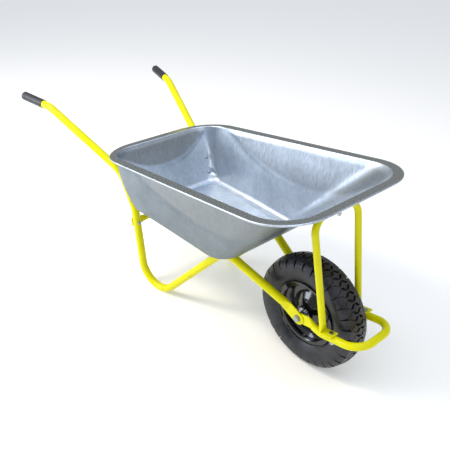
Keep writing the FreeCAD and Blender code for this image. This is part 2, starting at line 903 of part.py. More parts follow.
def rim_half_left():
    half = rim_sheet / 2.0
    seat = bead_radius - rim_seat_clearance - half
    flange_y = bead_half_width + rim_seat_clearance + half
    collar = hub_radius + seat_gap + half
    chain = [(flange_y + 5.2, lip_radius - 2.0), (flange_y + 3.0, lip_radius - half),
             (flange_y + 0.6, lip_radius - 2.4), (flange_y, seat + bead_chamfer),
             (flange_y - bead_chamfer, seat), (15.0, seat), (6.0, web_outer_radius + 3.0),
             (half, web_outer_radius), (half, web_inner_radius),
             (6.0, web_inner_radius - 6.0), (17.0, web_inner_radius - 24.0),
             (23.0, collar + 8.0), (25.5, collar), (hub_half_length - bearing_setback, collar)]
    body = spun(thickened(chain, rim_sheet))
    return body


def valve_axis():
    """Where the valve leaves the right rim half, and which way it points."""
    angle = math.radians(valve_angle)
    radial = vec(math.cos(angle), 0, math.sin(angle))
    seat = vec(0, 0, axle_z) + radial * (web_outer_radius + 7.0) + vec(0, -10.5, 0)
    heading = unit(vec(0, -1.0, 0) - radial * 0.9)
    return seat, heading


def rim_half_right():
    seat, heading = valve_axis()
    return drilled(mirrored(rim_half_left()), valve_radius + seat_gap, seat, heading, 14.0)


def valve_stem():
    seat, heading = valve_axis()
    foot = cylinder(valve_foot_radius, seat - heading * valve_foot_depth,
                    seat - heading * (valve_foot_depth - 2.5))
    stem = cylinder(valve_radius, seat - heading * 2.0, seat + heading * valve_length * valve_tip_share)
    tip = cylinder(valve_tip_radius, seat + heading * valve_length * valve_tip_share,
                   seat + heading * (valve_length - valve_tip_recess))
    return joined([foot, stem, tip]).cut(spun(inner_tube_section(inner_tube_gap)))


def valve_cap():
    seat, heading = valve_axis()
    start = seat + heading * (valve_length * valve_tip_share + seat_gap)
    body = cylinder(valve_radius, start, seat + heading * valve_length)
    bore = cylinder(valve_tip_radius + seat_gap, start,
                    seat + heading * (valve_length - valve_tip_recess + seat_gap))
    return body.cut(bore)


def hub():
    body = ring(hub_radius, bearing_outer_radius - hub_shoulder, wheel_point(-hub_half_length, 0),
                wheel_point(hub_half_length, 0))
    for side in (1, -1):
        mouth = wheel_point(side * (hub_half_length + 1.0), 0)
        seat = wheel_point(side * (hub_half_length - bearing_setback - bearing_width), 0)
        body = body.cut(cylinder(bearing_outer_radius + seat_gap, seat, mouth))
    return body


def bearing_span(side):
    near = hub_half_length - bearing_setback - bearing_width
    return wheel_point(side * near, 0), wheel_point(side * (near + bearing_width), 0)


def inner_race_radius():
    return bearing_bore_radius + bearing_race_wall


def outer_race_radius():
    return bearing_outer_radius - bearing_race_wall


def ball_pitch_radius():
    return 0.5 * (inner_race_radius() + outer_race_radius())


def outer_race(side):
    start, end = bearing_span(side)
    groove = Part.makeTorus(ball_pitch_radius(), ball_radius + running_gap,
                            (start + end) * 0.5, vec(0, 1, 0))
    return ring(bearing_outer_radius, outer_race_radius(), start, end).cut(groove)


def inner_race(side):
    start, end = bearing_span(side)
    groove = Part.makeTorus(ball_pitch_radius(), ball_radius + running_gap,
                            (start + end) * 0.5, vec(0, 1, 0))
    return ring(inner_race_radius(), bearing_bore_radius + seat_gap, start, end).cut(groove)


def balls():
    solids = []
    for side in (1, -1):
        start, end = bearing_span(side)
        middle = (start + end) * 0.5
        for i in range(bearing_balls):
            angle = math.radians(360.0 * i / bearing_balls)
            offset = vec(math.cos(angle), 0, math.sin(angle)) * ball_pitch_radius()
            solids.append(Part.makeSphere(ball_radius, middle + offset))
    return solids


def shields():
    """Thin rings that close each bearing's outer face, held in the outer race."""
    solids = []
    for side in (1, -1):
        _, end = bearing_span(side)
        inner_face = end - vec(0, side * shield_thickness, 0)
        solids.append(ring(outer_race_radius() - seat_gap, inner_race_radius() + running_gap,
                           inner_face, end))
    return solids


def axle_parts():
    sleeve_radius = bearing_bore_radius
    ends = wheel_point(-fork_inner_half, 0), wheel_point(fork_inner_half, 0)
    sleeve = ring(sleeve_radius, sleeve_radius - axle_sleeve_wall, *ends)
    collars = []
    for side in (1, -1):
        _, race_face = bearing_span(side)
        fork = wheel_point(side * fork_inner_half, 0)
        collars.append(ring(collar_radius, sleeve_radius + seat_gap, race_face, fork))
    near, _ = bearing_span(1)
    far, _ = bearing_span(-1)
    spacer = ring(spacer_radius, sleeve_radius + seat_gap, far, near)
    return sleeve, collars, spacer


def axle_fasteners():
    outer = fork_inner_half + loop_tab + side_tab
    washers = []
    for side in (1, -1):
        washers.append(washer(wheel_point(side * outer, 0), vec(0, side, 0), m12_hole_radius,
                              m12_washer_radius, m12_washer_thickness))
    seat = wheel_point(-outer - m12_washer_thickness, 0)
    nut_seat = wheel_point(outer + m12_washer_thickness, 0)
    length = (nut_seat - seat).Length + m12_nut_height + thread_beyond_nut
    bolt = hex_bolt(seat, vec(0, 1, 0), length, axle_bolt_radius, m12_flats,
                    m12_head_height)
    return bolt, washers, nut(nut_seat, vec(0, 1, 0), axle_bolt_radius + seat_gap,
                              m12_flats, m12_nut_height)


# assembly --------------------------------------------------------------------

def overall_shift():
    """Moves the middle of the overall length, grip tip to loop front, to X = 0."""
    tip, bend = vec(*grip_tip), vec(*handle_bend)
    inward = unit(bend - tip)
    spread = math.sqrt(1.0 - inward.x ** 2)
    rear = (tip.x + inward.x * grip_end_round - grip_end_round
            - (grip_radius - grip_end_round) * spread)
    front = loop_front + loop_tube_radius
    return -0.5 * (rear + front)


def build():
    bolts, washers, nuts = tray_fasteners()
    bar_bolts, bar_nuts = crossbar_fasteners()
    nose_bolt, nose_nut = nose_fasteners()
    pad_bolts, pad_nuts = foot_fasteners()
    sleeve, collars, spacer = axle_parts()
    axle_bolt, axle_washers, axle_nut = axle_fasteners()
    left_tube = side_tube_left()
    return {
        "tray": [tray()],
        "side_tube_left": [left_tube],
        "side_tube_right": [mirrored(left_tube)],
        "grip_left": [grip(1)],
        "grip_right": [grip(-1)],
        "front_loop": [front_loop()],
        "nose_support": [nose_support()],
        "rear_crossbar": [rear_crossbar()],
        "tray_bolts": bolts,
        "tray_washers": washers,
        "tray_nuts": nuts,
        "crossbar_bolts": bar_bolts,
        "crossbar_nuts": bar_nuts,
        "nose_bolt": [nose_bolt],
        "nose_nut": [nose_nut],
        "foot_bolts": pad_bolts,
        "foot_nuts": pad_nuts,
        "axle_bolt": [axle_bolt],
        "axle_washers": axle_washers,
        "axle_nut": [axle_nut],
        "axle_sleeve": [sleeve],
        "axle_collars": collars,
        "bearing_spacer": [spacer],
        "bearing_inner_races": [inner_race(1), inner_race(-1)],
        "bearing_outer_races": [outer_race(1), outer_race(-1)],
        "bearing_balls": balls(),
        "bearing_shields": shields(),
        "hub": [hub()],
        "rim_half_left": [rim_half_left()],
        "rim_half_right": [rim_half_right()],
        "inner_tube": [inner_tube()],
        "tyre": [tyre()],
        "valve_stem": [valve_stem()],
        "valve_cap": [valve_cap()],
    }


os.makedirs("parts", exist_ok=True)
shift = vec(overall_shift(), 0, 0)
for node, solids in build().items():
    shape = solids[0] if len(solids) == 1 else Part.makeCompound(solids)
    shape.translate(shift)
    shape.exportStep("parts/" + node + ".step")
    box = shape.BoundBox
    print(node, len(shape.Solids), shape.isValid(), round(shape.Volume),
          [round(v, 1) for v in (box.XMin, box.XMax, box.YMin, box.YMax, box.ZMin, box.ZMax)])
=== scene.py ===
import json
import math
import bpy
from mathutils import Matrix, Vector, noise


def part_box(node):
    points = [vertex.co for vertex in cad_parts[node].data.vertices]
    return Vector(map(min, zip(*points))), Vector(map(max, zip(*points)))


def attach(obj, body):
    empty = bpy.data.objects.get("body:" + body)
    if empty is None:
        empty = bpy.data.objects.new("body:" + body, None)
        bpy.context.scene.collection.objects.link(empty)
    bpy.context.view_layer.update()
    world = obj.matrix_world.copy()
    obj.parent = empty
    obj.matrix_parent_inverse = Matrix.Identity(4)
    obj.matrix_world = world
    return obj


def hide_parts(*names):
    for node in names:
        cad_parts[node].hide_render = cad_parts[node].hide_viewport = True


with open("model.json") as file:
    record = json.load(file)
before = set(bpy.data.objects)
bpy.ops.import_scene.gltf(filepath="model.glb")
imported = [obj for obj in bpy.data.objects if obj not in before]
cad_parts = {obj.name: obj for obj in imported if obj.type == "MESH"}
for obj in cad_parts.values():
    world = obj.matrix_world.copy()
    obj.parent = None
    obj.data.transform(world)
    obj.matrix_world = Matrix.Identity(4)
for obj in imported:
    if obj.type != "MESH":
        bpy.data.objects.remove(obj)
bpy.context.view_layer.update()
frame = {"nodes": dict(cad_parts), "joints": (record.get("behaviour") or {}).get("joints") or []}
nodes = frame["nodes"]
axle = Vector(frame["joints"][0]["pos_m"])   # the wheel's axle, which the tray and tyre are set out from


# camera, floor and light

cameraView = dict(azimuth=48.2805, elevation=31.4134, roll=1.2395, distance=2.0549,
                  aim=(0.0927, 0, 0.3203), lens=44.25)


def placeCamera():
    turn, rise, roll = (math.radians(cameraView[k]) for k in ("azimuth", "elevation", "roll"))
    back = Vector((math.sin(turn) * math.cos(rise), -math.cos(turn) * math.cos(rise), math.sin(rise)))
    right = Vector((math.cos(turn), math.sin(turn), 0))
    up = back.cross(right)
    sideways = right * math.cos(roll) + up * math.sin(roll)
    upward = up * math.cos(roll) - right * math.sin(roll)
    bpy.ops.object.camera_add()
    camera = bpy.context.object
    camera.name = "viewCamera"
    camera.data.lens = cameraView["lens"]
    place = Matrix((sideways, upward, back)).transposed().to_4x4()
    place.translation = Vector(cameraView["aim"]) + back * cameraView["distance"]
    camera.matrix_world = place
    bpy.context.scene.camera = camera


placeCamera()
print("camera placed")


def hexColour(code):
    # sRGB hex to the linear values that sockets take.
    levels = [int(code[i:i + 2], 16) / 255 for i in (1, 3, 5)]
    return [c / 12.92 if c <= 0.04045 else ((c + 0.055) / 1.055) ** 2.4 for c in levels] + [1]


def addNode(tree, kind, settings, links, output=0):
    node = tree.nodes.new("ShaderNode" + kind)
    for name, value in settings.items():
        setattr(node, name, value)
    for socket, value in links.items():
        if isinstance(value, bpy.types.NodeSocket):
            tree.links.new(value, node.inputs[socket])
        else:
            node.inputs[socket].default_value = value
    return node.outputs[output]


def newFinish(name, **sockets):
    material = bpy.data.materials.new(name)
    material.use_nodes = True
    shader = material.node_tree.nodes["Principled BSDF"]
    for socket, value in sockets.items():
        shader.inputs[socket.replace("_", " ")].default_value = value
    return material, material.node_tree, shader


def placeOn(tree, scale=(1, 1, 1), centre=(0, 0, 0)):
    # Object coordinates moved to centre and scaled, so that a pattern has its real size
    place = addNode(tree, "TexCoord", {}, {}, "Object")
    moved = addNode(tree, "VectorMath", {"operation": "SUBTRACT"}, {0: place, 1: centre})
    return addNode(tree, "VectorMath", {"operation": "MULTIPLY"}, {0: moved, 1: scale})


# a Map Range node's links 0 to 4 are its value, the range it comes from and the range it goes to,
# and a Mix node's links 0, 6 and 7 are its share and two colours
noiseLow, noiseHigh = 0.3, 0.7   # nearly all of a noise's values lie between these

studio = dict(floorColour="#fffdf7", floorRough=0.85, floorGlow=0.14, floorSize=240, floorGrain=0.002,
              floorShade=0.985, skyTop="#dfe8fb", skySide="#a6a7a3", skyStrength=0.95, skyStart=0.4,
              skyFull=0.85)


def buildStudio():
    bpy.ops.mesh.primitive_plane_add(size=studio["floorSize"])
    floor = bpy.context.object
    floor.name = "paleFloor"
    material, tree, shader = newFinish("matte painted floor", Roughness=studio["floorRough"])
    fine = addNode(tree, "TexNoise", {}, {
        "Vector": placeOn(tree), "Scale": 1 / studio["floorGrain"], "Detail": 3, "Roughness": 0.5})
    pale = hexColour(studio["floorColour"])
    shaded = [level * studio["floorShade"] for level in pale[:3]] + [1]
    paint = addNode(tree, "Mix", {"data_type": "RGBA"}, {0: fine, 6: pale, 7: shaded}, 2)
    tree.links.new(paint, shader.inputs["Base Color"])
    shader.inputs["Emission Color"].default_value = pale
    shader.inputs["Emission Strength"].default_value = studio["floorGlow"]
    floor.data.materials.append(material)
    world = bpy.data.worlds.new("softStudio")
    bpy.context.scene.world = world
    world.use_nodes = True
    tree = world.node_tree
    direction = addNode(tree, "TexCoord", {}, {}, "Generated")
    height = addNode(tree, "SeparateXYZ", {}, {0: direction}, "Z")
    share = addNode(tree, "MapRange", {}, {
        0: height, 1: studio["skyStart"], 2: studio["skyFull"], 3: 0, 4: 1})
    side, top = hexColour(studio["skySide"]), hexColour(studio["skyTop"])
    sky = addNode(tree, "Mix", {"data_type": "RGBA"}, {0: share, 6: side, 7: top}, 2)
    tree.links.new(sky, tree.nodes["Background"].inputs["Color"])
    tree.nodes["Background"].inputs["Strength"].default_value = studio["skyStrength"]


softBoxes = {
    "keyLight": dict(place=(-1.3, -1.7, 2.9), aim=(0.1, 0, 0.35), size=1.0, power=64, tint="#fff4e4"),
    "topLight": dict(place=(0.3, 0.5, 3.2), aim=(0.1, 0, 0.4), size=1.6, power=22, tint="#eef3ff"),
    "frontLight": dict(place=(2.6, -1.2, 1.8), aim=(0.4, 0, 0.2), size=1.2, power=14, tint="#f4f8ff"),
    "sideLight": dict(place=(-2.0, -2.5, 1.35), aim=(0.1, 0.2, 0.5), size=1.5, power=58, tint="#e6efff"),
}


def hangSoftBoxes():
    for name, box in softBoxes.items():
        bpy.ops.object.light_add(type="AREA", location=box["place"])
        lamp = bpy.context.object
        lamp.name = name
        lamp.data.shape = "SQUARE"
        lamp.data.size = box["size"]
        lamp.data.energy = box["power"]
        lamp.data.color = hexColour(box["tint"])[:3]
        lamp.rotation_euler = (Vector(box["aim"]) - lamp.location).to_track_quat("-Z", "Y").to_euler()


buildStudio()
hangSoftBoxes()
bpy.context.scene.view_settings.view_transform = "Standard"
print("floor and lights set")


# finishes

def galvanisedSheet(name, pale, dull):
    # hot-dip galvanised sheet, deep drawn: soft bright metal with draw streaks and faint zinc flowers
    finish = dict(flangeTone="#a9aeb1", drawn="#8e9397", streak=0.006, streakDrop=0.4, flower=0.011, smudge=0.13,
                  streakTone=0.22, smudgeTone=(0.2, 0.9), flowerTone=0.08, drawnRange=(0.36, 0.64),
                  drawnShare=(0.4, 0.85), rough=(0.38, 0.47), flangeGloss=0.14, reliefDepth=0.0003,
                  relief=0.14)
    material, tree, shader = newFinish(name, Metallic=1.0)
    drop = finish["streak"] / finish["streakDrop"]
    streaks = addNode(tree, "TexNoise", {}, {
        "Vector": placeOn(tree, (1, 1, drop)), "Scale": 1 / finish["streak"], "Detail": 4, "Roughness": 0.6})
    smudges = addNode(tree, "TexNoise", {}, {
        "Vector": placeOn(tree), "Scale": 1 / finish["smudge"], "Detail": 4, "Roughness": 0.55})
    flowers = addNode(tree, "TexVoronoi", {}, {
        "Vector": placeOn(tree), "Scale": 1 / finish["flower"]}, "Color")
    flowerShade = addNode(tree, "SeparateColor", {}, {0: flowers})
    streakTone = addNode(tree, "MapRange", {}, {
        0: streaks, 1: noiseLow, 2: noiseHigh, 3: -finish["streakTone"], 4: finish["streakTone"]})
    smudgeTone = addNode(tree, "MapRange", {}, {
        0: smudges, 1: noiseLow, 2: noiseHigh, 3: finish["smudgeTone"][0], 4: finish["smudgeTone"][1]})
    flowerTone = addNode(tree, "MapRange", {}, {
        0: flowerShade, 1: 0, 2: 1, 3: -finish["flowerTone"], 4: finish["flowerTone"]})
    tone = addNode(tree, "Math", {"operation": "ADD"}, {0: streakTone, 1: smudgeTone})
    tone = addNode(tree, "Math", {"operation": "ADD", "use_clamp": True}, {0: tone, 1: flowerTone})
    colour = addNode(tree, "Mix", {"data_type": "RGBA"}, {0: tone, 6: hexColour(dull), 7: hexColour(pale)}, 2)
    # the pressed fields show the draw streaks most
    pressed = addNode(tree, "Attribute", {"attribute_name": "pressed"}, {}, "Fac")
    drawnShare = addNode(tree, "MapRange", {}, {
        0: streaks, 1: finish["drawnRange"][0], 2: finish["drawnRange"][1],
        3: finish["drawnShare"][0], 4: finish["drawnShare"][1]})
    drawn = addNode(tree, "Math", {"operation": "MULTIPLY"}, {0: pressed, 1: drawnShare})
    colour = addNode(tree, "Mix", {"data_type": "RGBA"}, {
        0: drawn, 6: colour, 7: hexColour(finish["drawn"])}, 2)
    # the flange is mixed towards a darker tone and made glossier
    flangeTone = addNode(tree, "Attribute", {"attribute_name": "flangeTone"}, {}, "Fac")
    colour = addNode(tree, "Mix", {"data_type": "RGBA"}, {
        0: flangeTone, 6: colour, 7: hexColour(finish["flangeTone"])}, 2)
    tree.links.new(colour, shader.inputs["Base Color"])
    gloss = addNode(tree, "MapRange", {}, {0: flangeTone, 1: 0, 2: 1, 3: 0, 4: finish["flangeGloss"]})
    rough = addNode(tree, "MapRange", {}, {
        0: streaks, 1: noiseLow, 2: noiseHigh, 3: finish["rough"][0], 4: finish["rough"][1]})
    rough = addNode(tree, "Math", {"operation": "SUBTRACT"}, {0: rough, 1: gloss})
    tree.links.new(rough, shader.inputs["Roughness"])
    bump = addNode(tree, "Bump", {}, {
        "Height": streaks, "Distance": finish["reliefDepth"], "Strength": finish["relief"]})
    tree.links.new(bump, shader.inputs["Normal"])
    return material


def simpleFinish(finish, **sockets):
    # two tones and a gloss that follow one noise, and a finer relief where the finish has one
    material, tree, shader = newFinish(finish["name"], **sockets)
    pattern = addNode(tree, "TexNoise", {}, {
        "Vector": placeOn(tree, finish.get("stretch", (1, 1, 1))), "Scale": 1 / finish["patch"],
        "Detail": finish["detail"], "Roughness": finish.get("patchRoughness", 0.5)})
    share = pattern
    if "shareRange" in finish:
        share = addNode(tree, "MapRange", {}, {
            0: pattern, 1: finish["shareRange"][0], 2: finish["shareRange"][1], 3: 0, 4: 1})
    colour = addNode(tree, "Mix", {"data_type": "RGBA"}, {
        0: share, 6: hexColour(finish["low"]), 7: hexColour(finish["high"])}, 2)
    tree.links.new(colour, shader.inputs["Base Color"])
    rough = addNode(tree, "MapRange", {}, {
        0: pattern, 1: noiseLow, 2: finish.get("roughTo", noiseHigh),
        3: finish["rough"][0], 4: finish["rough"][1]})
    tree.links.new(rough, shader.inputs["Roughness"])
    if "relief" in finish:
        height = pattern
        if "peel" in finish:
            height = addNode(tree, "TexNoise", {}, {
                "Vector": placeOn(tree), "Scale": 1 / finish["peel"], "Detail": 2, "Roughness": 0.5})
        bump = addNode(tree, "Bump", {}, {
            "Height": height, "Distance": finish["reliefDepth"], "Strength": finish["relief"]})
        tree.links.new(bump, shader.inputs["Normal"])
    return material


# polyester powder coat on steel tube: deep even colour, soft gloss with a slight orange peel
powderCoat = dict(name="gloss powder coat", low="#d1cc00", high="#e8e300", patch=0.09, detail=3,
                  rough=(0.26, 0.36), peel=0.0022, reliefDepth=0.0001, relief=0.3)
# baked black enamel on pressed steel: near-black with sharp window-like reflections and a little dust
rimEnamel = dict(name="baked black enamel", low="#0b0c0f", high="#1d1d1f", patch=0.02, detail=5,
                 patchRoughness=0.6, shareRange=(0.55, 0.75), roughTo=0.75, rough=(0.08, 0.22), peel=0.003,
                 reliefDepth=0.0001, relief=0.2)
# electroplated zinc on fasteners: pale silver, slightly brushed by the tumbling barrel
zincPlate = dict(name="bright zinc plating", low="#8b9095", high="#c3c7cb", patch=0.0012, detail=4,
                 patchRoughness=0.6, stretch=(1, 1, 0.3), rough=(0.18, 0.34), reliefDepth=0.00006, relief=0.3)
# ground bearing steel: darker than zinc, with a very fine grain
bearingSteel = dict(name="ground bearing steel", low="#8d9094", high="#b9bcc0", patch=0.0008, detail=3,
                    rough=(0.12, 0.22))
# butyl inner tube and valve rubber: smooth and satin black
butyl = dict(name="butyl rubber", low="#1b1b1d", high="#2d2d30", patch=0.02, detail=3, rough=(0.4, 0.55))
# dipped soft PVC handle grip: bluish black, fine even grain, a soft broad highlight
gripVinyl = dict(name="soft PVC grip", low="#17181d", high="#272831", patch=0.03, detail=4,
                 rough=(0.38, 0.52), peel=0.0016, reliefDepth=0.0002, relief=0.5)
# moulded polyethylene cap: plain black with a waxy sheen
capPlastic = dict(name="moulded polyethylene", low="#131314", high="#222224", patch=0.004, detail=2,
                  rough=(0.32, 0.44))


def tyreRubber():
    # moulded carbon-black rubber: dull, with mould lines across the wall, dry brown dust and painted shade in
    # the grooves
    finish = dict(colour="#131418", grey="#292c35", deep="#050506", dust="#4a4136", moulds=180, speck=0.004,
                  patch=0.045, treadStart=0.186, treadFull=0.197, treadDust=0.75, greyRange=(0.35, 0.65),
                  speckRange=(0.56, 0.68), dustRange=(0.42, 0.62), wallDust=0.7, wornRange=(0.4, 0.7),
                  wornShare=(0.2, 1), rough=(0.3, 0.48), mouldRelief=0.25, reliefDepth=0.0004, relief=0.4)
    material, tree, shader = newFinish("moulded tyre rubber", IOR=1.52, Specular_IOR_Level=0.4)
    place = placeOn(tree, (1, 1, 1), tuple(axle))
    forward = addNode(tree, "SeparateXYZ", {}, {0: place}, "X")
    upward = addNode(tree, "SeparateXYZ", {}, {0: place}, "Z")
    angle = addNode(tree, "Math", {"operation": "ARCTAN2"}, {0: forward, 1: upward})
    turns = addNode(tree, "Math", {"operation": "MULTIPLY"}, {0: angle, 1: float(finish["moulds"])})
    lines = addNode(tree, "Math", {"operation": "SINE"}, {0: turns})
    patches = addNode(tree, "TexNoise", {}, {
        "Vector": place, "Scale": 1 / finish["patch"], "Detail": 4, "Roughness": 0.6})
    specks = addNode(tree, "TexNoise", {}, {
        "Vector": place, "Scale": 1 / finish["speck"], "Detail": 3, "Roughness": 0.7})
    greyShare = addNode(tree, "MapRange", {}, {
        0: patches, 1: finish["greyRange"][0], 2: finish["greyRange"][1], 3: 0, 4: 1})
    grey = addNode(tree, "Mix", {"data_type": "RGBA"}, {
        0: greyShare, 6: hexColour(finish["colour"]), 7: hexColour(finish["grey"])}, 2)
    speckShare = addNode(tree, "MapRange", {}, {
        0: specks, 1: finish["speckRange"][0], 2: finish["speckRange"][1], 3: 0, 4: 1})
    patchShare = addNode(tree, "MapRange", {}, {
        0: patches, 1: finish["dustRange"][0], 2: finish["dustRange"][1], 3: 0, 4: finish["wallDust"]})
    dusty = addNode(tree, "Math", {"operation": "MULTIPLY", "use_clamp": True}, {
        0: speckShare, 1: patchShare})
    # distance from the axle, past which the tread is worn brown
    reach = addNode(tree, "VectorMath", {"operation": "MULTIPLY"}, {0: place, 1: (1, 0, 1)})
    reach = addNode(tree, "VectorMath", {"operation": "LENGTH"}, {0: reach}, "Value")
    onTread = addNode(tree, "MapRange", {}, {
        0: reach, 1: finish["treadStart"], 2: finish["treadFull"], 3: 0, 4: finish["treadDust"]})
    wornShare = addNode(tree, "MapRange", {}, {
        0: specks, 1: finish["wornRange"][0], 2: finish["wornRange"][1],
        3: finish["wornShare"][0], 4: finish["wornShare"][1]})
    worn = addNode(tree, "Math", {"operation": "MULTIPLY"}, {0: onTread, 1: wornShare})
    dusty = addNode(tree, "Math", {"operation": "MAXIMUM"}, {0: dusty, 1: worn})
    colour = addNode(tree, "Mix", {"data_type": "RGBA"}, {0: dusty, 6: grey, 7: hexColour(finish["dust"])}, 2)
    # painted shade: groove floors and block feet are mixed towards near-black
    grooveShade = addNode(tree, "Attribute", {"attribute_name": "grooveShade"}, {}, "Fac")
    colour = addNode(tree, "Mix", {"data_type": "RGBA"}, {
        0: grooveShade, 6: colour, 7: hexColour(finish["deep"])}, 2)
    tree.links.new(colour, shader.inputs["Base Color"])
    rough = addNode(tree, "MapRange", {}, {
        0: patches, 1: noiseLow, 2: noiseHigh, 3: finish["rough"][0], 4: finish["rough"][1]})
    tree.links.new(rough, shader.inputs["Roughness"])
    mould = addNode(tree, "MapRange", {}, {0: lines, 1: -1, 2: 1, 3: 0, 4: finish["mouldRelief"]})
    height = addNode(tree, "Math", {"operation": "ADD"}, {0: mould, 1: specks})
    bump = addNode(tree, "Bump", {}, {
        "Height": height, "Distance": finish["reliefDepth"], "Strength": finish["relief"]})
    tree.links.new(bump, shader.inputs["Normal"])
    return material


sheet = galvanisedSheet("drawn galvanised steel", "#d8e1eb", "#a6b0ba")
shadedSheet = galvanisedSheet("shaded galvanised steel", "#86919b", "#656f78")   # a darker copy for the outside, painted shade
yellow = simpleFinish(powderCoat, IOR=1.45, Specular_IOR_Level=0.2, Coat_Weight=0.08, Coat_Roughness=0.1)
enamel = simpleFinish(rimEnamel, IOR=1.52, Coat_Weight=0.4, Coat_Roughness=0.06)
zinc = simpleFinish(zincPlate, Metallic=1.0)
bearing = simpleFinish(bearingSteel, Metallic=1.0)
tyreBlack = tyreRubber()
tubeBlack = simpleFinish(butyl, IOR=1.52)
gripBlack = simpleFinish(gripVinyl, IOR=1.53)
capBlack = simpleFinish(capPlastic, IOR=1.51)

finishOfNode = [
    (sheet, ("tray",)),
    (yellow, ("side_tube", "front_loop", "nose_support", "rear_crossbar")),
    (enamel, ("rim_half", "hub")),
    (bearing, ("bearing_",)),
    (zinc, ("axle_", "tray_", "crossbar_", "foot_", "nose_bolt", "nose_nut", "bearing_spacer")),
    (tyreBlack, ("tyre",)), (tubeBlack, ("inner_tube", "valve_stem")),
    (gripBlack, ("grip_",)), (capBlack, ("valve_cap",)),
]


def finishNodes():
    for material, starts in finishOfNode:
        for name, piece in nodes.items():
            if name == starts[0] or (name.startswith(starts) and material is not sheet):
                for slot in piece.material_slots:
                    slot.material = material


finishNodes()
print("finishes made")


# helpers for modelling

def startClean():
    if bpy.context.object and bpy.context.object.mode != "OBJECT":
        bpy.ops.object.mode_set(mode="OBJECT")
    bpy.ops.object.select_all(action="DESELECT")


def makeActive(piece):
    startClean()
    piece.select_set(True)
    bpy.context.view_layer.objects.active = piece


def smoothStep(value):
    value = min(1, max(0, value))
    return value * value * (3 - 2 * value)


def openRing(name, places):
    # A ring of edges through places, ready to be extruded.
    startClean()
    bpy.ops.mesh.primitive_circle_add(vertices=len(places), radius=1, fill_type="NOTHING")
    piece = bpy.context.object
    piece.name = piece.data.name = name
    for vertex, place in zip(piece.data.vertices, places):
        vertex.co = place
    return piece


def growRow(piece, row, places):
    # Extrudes the open row of vertices and sets the new ones at places.
    mesh = piece.data
    firstNew = len(mesh.vertices)
    bpy.ops.object.mode_set(mode="EDIT")
    bpy.ops.mesh.extrude_edges_move()
    bpy.ops.object.mode_set(mode="OBJECT")
    grownFrom = {}
    for edge in mesh.edges:
        low, high = sorted(edge.vertices)
        if low < firstNew <= high:
            grownFrom[low] = high
    grown = [grownFrom[index] for index in row]
    for index, place in zip(grown, places):
        mesh.vertices[index].co = place
    return grown


def applyModifier(piece, kind, **settings):
    makeActive(piece)
    modifier = piece.modifiers.new(kind.title(), kind)
    for name, value in settings.items():
        setattr(modifier, name, value)
    bpy.ops.object.modifier_apply(modifier=modifier.name)


def recalculateNormals(piece):
    makeActive(piece)
    bpy.ops.object.mode_set(mode="EDIT")
    bpy.ops.mesh.select_all(action="SELECT")
    bpy.ops.mesh.normals_make_consistent(inside=False)
    bpy.ops.object.mode_set(mode="OBJECT")


def finishPiece(piece, material, body, replaced, angle=40):
    makeActive(piece)
    bpy.ops.object.shade_smooth_by_angle(angle=math.radians(angle))
    if material:
        piece.data.materials.clear()
        piece.data.materials.append(material)
    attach(piece, body)
    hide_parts(*replaced)


# tray: floor panel, corner fillet, leaning walls, flange and rolled edge, from the middle outwards

tray = dict(
    floorRear=-0.748, floorFront=-0.250, floorHalfRear=0.206, floorHalfFront=0.188,
    floorCornerRear=0.044, floorCornerFront=0.072, fillet=0.036, floorZ=0.326,
    breakZ=0.440, breakCornerRear=0.028, breakCornerFront=0.086,
    rimHalfRear=0.2765, rimHalfFront=0.306, rimCornerRear=0.157, rimCornerFront=0.149,
    mouthCornerRear=0.100, mouthCornerFront=0.115, rimZRear=0.536, rimZFront=0.6715,
    flange=0.034, bead=0.003, sheet=0.001, panelInset=0.022, panelSlope=0.004, panelRise=0.002,
    panelCorner=0.045, panelTaper=0.012, panelTaperCorner=0.016, panelRows=3, filletReach=0.72,
    mouthBend=0.005, mouthParts=5, arcParts=14, sideParts=44, endParts=26,
    filletParts=9, flangeParts=4, wallParts=44, beadParts=10,
    landPlaces=((0.1943, 0.417), (0.1889, 0.360)), noseLand=(0, 0.601), landRadius=0.013, landBlend=0.006,
    landReach=0.03, noseBlend=0.03,
    fieldDepth=0.0032, fieldEdge=0.06, fieldTop=0.97, fieldTopEdge=0.06, sideFrom=0.8, sideTo=0.93,
    bowPeak=0.2, bowFront=0.8, bowRear=0.95, bowPower=2.2, sideBow=0.42, sideRise=0.6, endBow=0.5,
    endRise=0.55,
    waver=0.0005, waverSize=0.14)


def roundedOutline(rear, front, halfRear, halfFront, rearRadius, frontRadius, height):
    # points anticlockwise from the start of the rear right corner's arc, at height(x)
    corners = [Vector((rear, -halfRear)), Vector((front, -halfFront)),
               Vector((front, halfFront)), Vector((rear, halfRear))]
    radii = (rearRadius, frontRadius, frontRadius, rearRadius)
    arcs = []
    for i, (corner, radius) in enumerate(zip(corners, radii)):
        before = (corners[i - 1] - corner).normalized()
        after = (corners[(i + 1) % 4] - corner).normalized()
        half = before.angle(after) / 2
        centre = corner + (before + after).normalized() * radius / math.sin(half)
        start = corner + before * radius / math.tan(half) - centre
        turn = math.pi - 2 * half
        arcs.append([centre + Matrix.Rotation(turn * k / tray["arcParts"], 2) @ start
                     for k in range(tray["arcParts"] + 1)])
    points = []
    for i, arc in enumerate(arcs):
        parts = tray["sideParts"] if i in (0, 2) else tray["endParts"]
        follow = arcs[(i + 1) % 4][0]
        points += arc + [arc[-1].lerp(follow, k / parts) for k in range(1, parts)]
    return [Vector((p.x + axle.x, p.y, height(p.x))) for p in points]


def trayRimHeight(x):
    rear, front = cadTrayBox[0].x - axle.x, cadTrayBox[1].x - axle.x
    return tray["rimZRear"] + (tray["rimZFront"] - tray["rimZRear"]) * (x - rear) / (front - rear)


def floorOutline(inset, radiusRear, radiusFront, z):
    return roundedOutline(tray["floorRear"] + inset, tray["floorFront"] - inset,
                          tray["floorHalfRear"] - inset, tray["floorHalfFront"] - inset,
                          radiusRear, radiusFront, lambda x: z)


